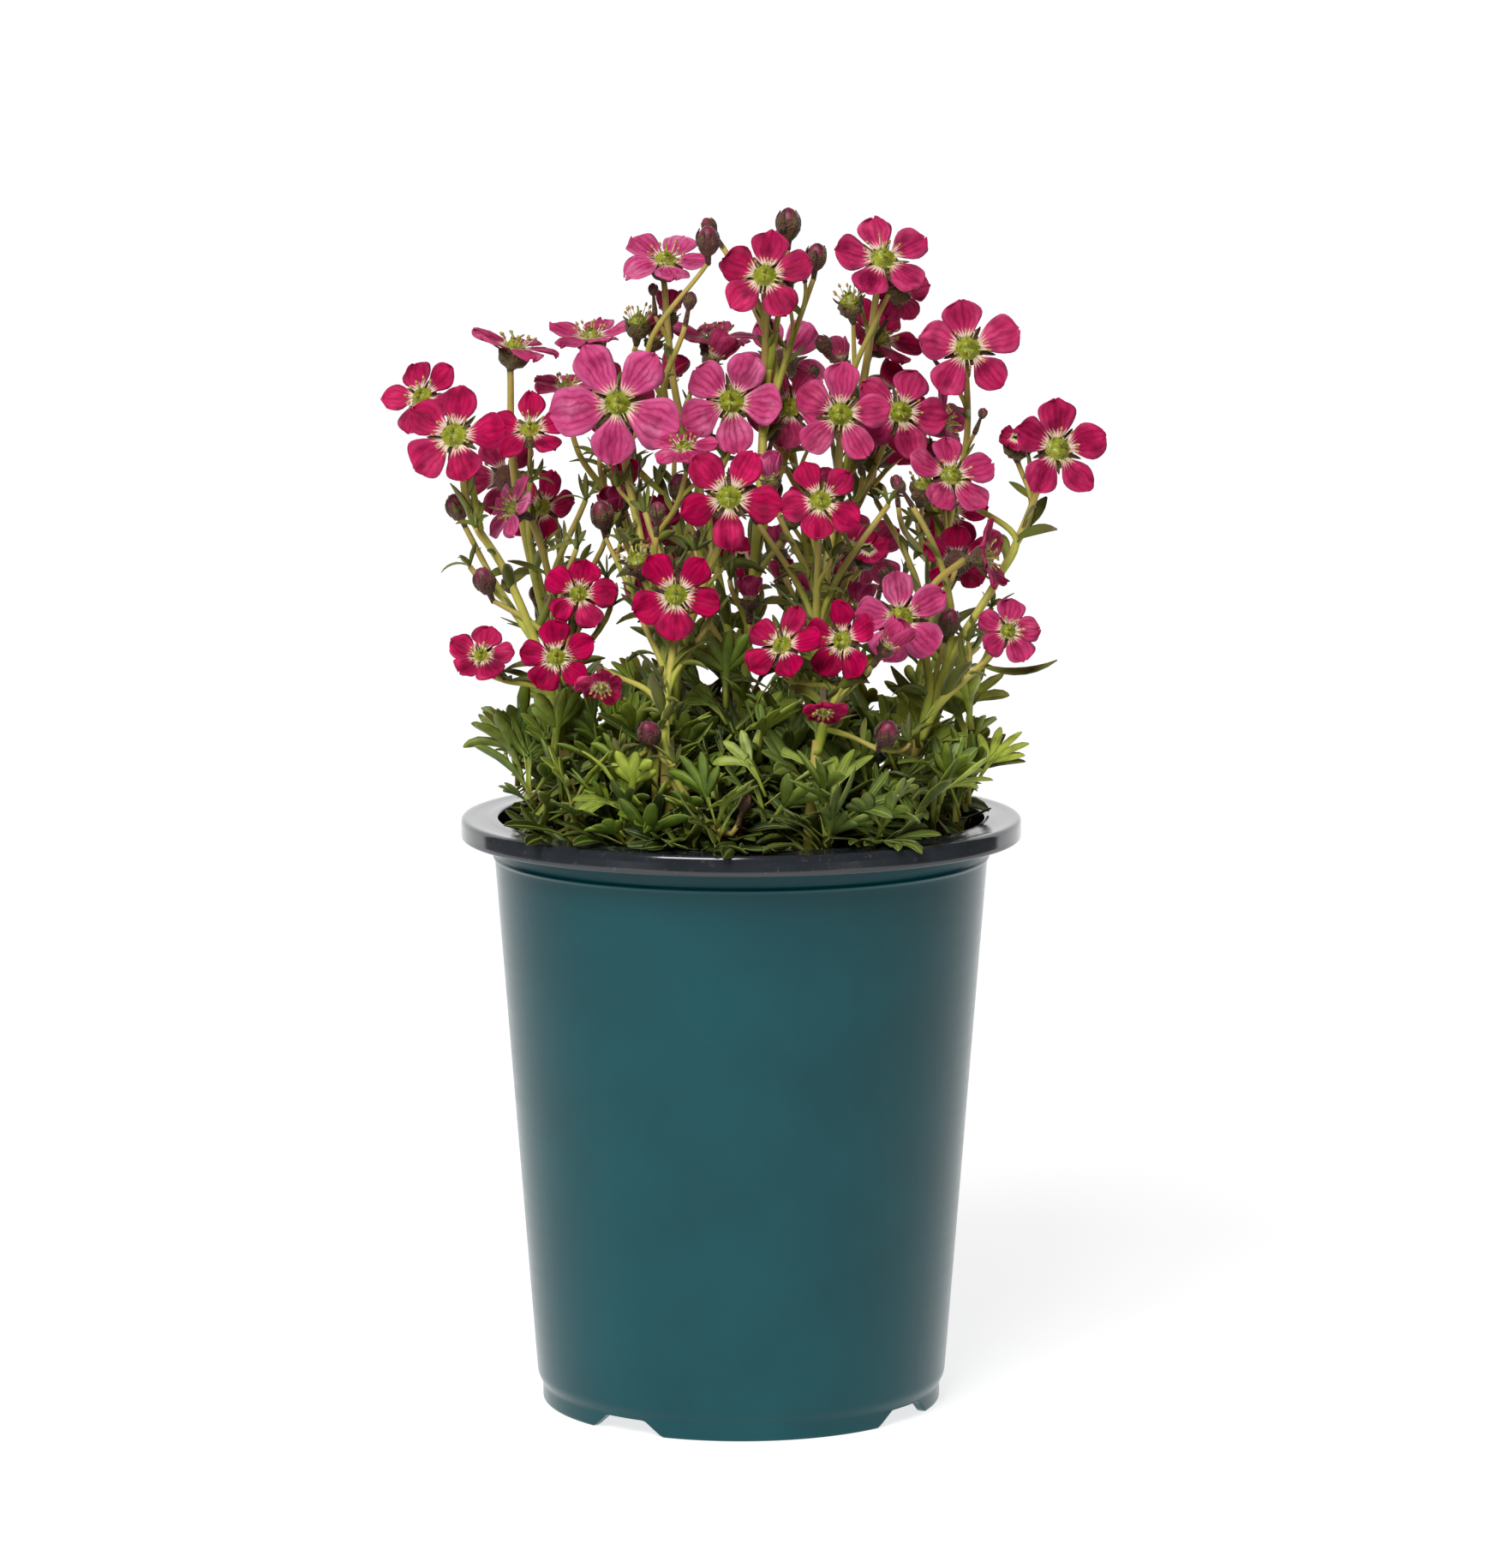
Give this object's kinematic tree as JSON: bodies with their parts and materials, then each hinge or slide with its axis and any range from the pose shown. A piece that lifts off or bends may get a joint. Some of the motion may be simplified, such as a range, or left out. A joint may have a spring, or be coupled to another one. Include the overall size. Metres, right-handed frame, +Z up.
{
  "type": "potted saxifrage",
  "caption": "Mossy saxifrage in full flower in a round plastic nursery pot with a turned-down rim and a notched foot.",
  "frame": {"origin": "centre of the pot's base, on the surface it stands on", "axes": "+Z up, -Y towards the front of the plant, +X to its right as seen from the front"},
  "size_m": [0.1548, 0.12, 0.2604],
  "materials": {
    "pot_plastic": "teal outside, slate inside and on the rim, satin gloss",
    "soil": "moist bark and peat mix",
    "foliage": "soft fresh leaves and stems",
    "petals_magenta": "satin petals, pale at the throat",
    "petals_pink": "satin petals with darker veins"
  },
  "bodies": {
    "root": {"pot": "pot_plastic", "soil": "soil", "shoot_00": "foliage", "shoot_01": "foliage", "shoot_02": "foliage", "shoot_03": "foliage", "shoot_04": "foliage", "shoot_05": "foliage", "shoot_06": "foliage", "shoot_07": "foliage", "shoot_08": "foliage", "shoot_09": "foliage", "shoot_10": "foliage", "shoot_11": "foliage", "shoot_12": "foliage", "bloom_left_outer": "petals_magenta", "bloom_left_outer_back": "petals_magenta", "bloom_left_cup": "petals_magenta", "bloom_left_inner": "petals_magenta", "bloom_left_top_cup": "petals_pink", "bloom_left_low_cup": "petals_pink", "bloom_large_pale": "petals_pink", "bloom_top_left_cup": "petals_pink", "bloom_top_centre": "petals_magenta", "bloom_top_right": "petals_magenta", "bloom_top_nodding": "petals_magenta", "bloom_back_cup": "petals_magenta", "bloom_centre_pale": "petals_pink", "bloom_centre_back": "petals_magenta", "bloom_centre_right": "petals_magenta", "bloom_right_inner": "petals_magenta", "bloom_right_side": "petals_magenta", "bloom_right_top": "petals_magenta", "bloom_right_edge_on": "petals_pink", "bloom_right_outer": "petals_magenta", "bloom_right_mid": "petals_magenta", "bloom_right_low_side": "petals_magenta", "bloom_right_low_back": "petals_magenta", "bloom_right_low_pale": "petals_pink", "bloom_right_low_cup": "petals_magenta", "bloom_front_right": "petals_magenta", "bloom_front_right_inner": "petals_magenta", "bloom_front_hanging": "petals_magenta", "bloom_front_centre": "petals_magenta", "bloom_front_left_hanging": "petals_magenta", "bloom_front_left": "petals_magenta", "bloom_front_left_low": "petals_magenta", "bloom_front_left_outer": "petals_magenta", "bloom_mid_bright": "petals_magenta", "bloom_mid_left_cup": "petals_magenta", "bloom_mid_right": "petals_magenta", "bloom_left_spent_pale": "petals_pink", "bloom_left_behind": "petals_magenta", "bloom_right_behind": "petals_magenta", "bloom_rear_left": "petals_magenta", "bloom_rear_centre": "petals_pink", "bloom_rear_right": "petals_magenta", "bloom_rear_far_left": "petals_magenta", "bloom_rear_low_left": "petals_magenta", "bloom_rear_low_right": "petals_pink"}
  },
  "joints": []
}
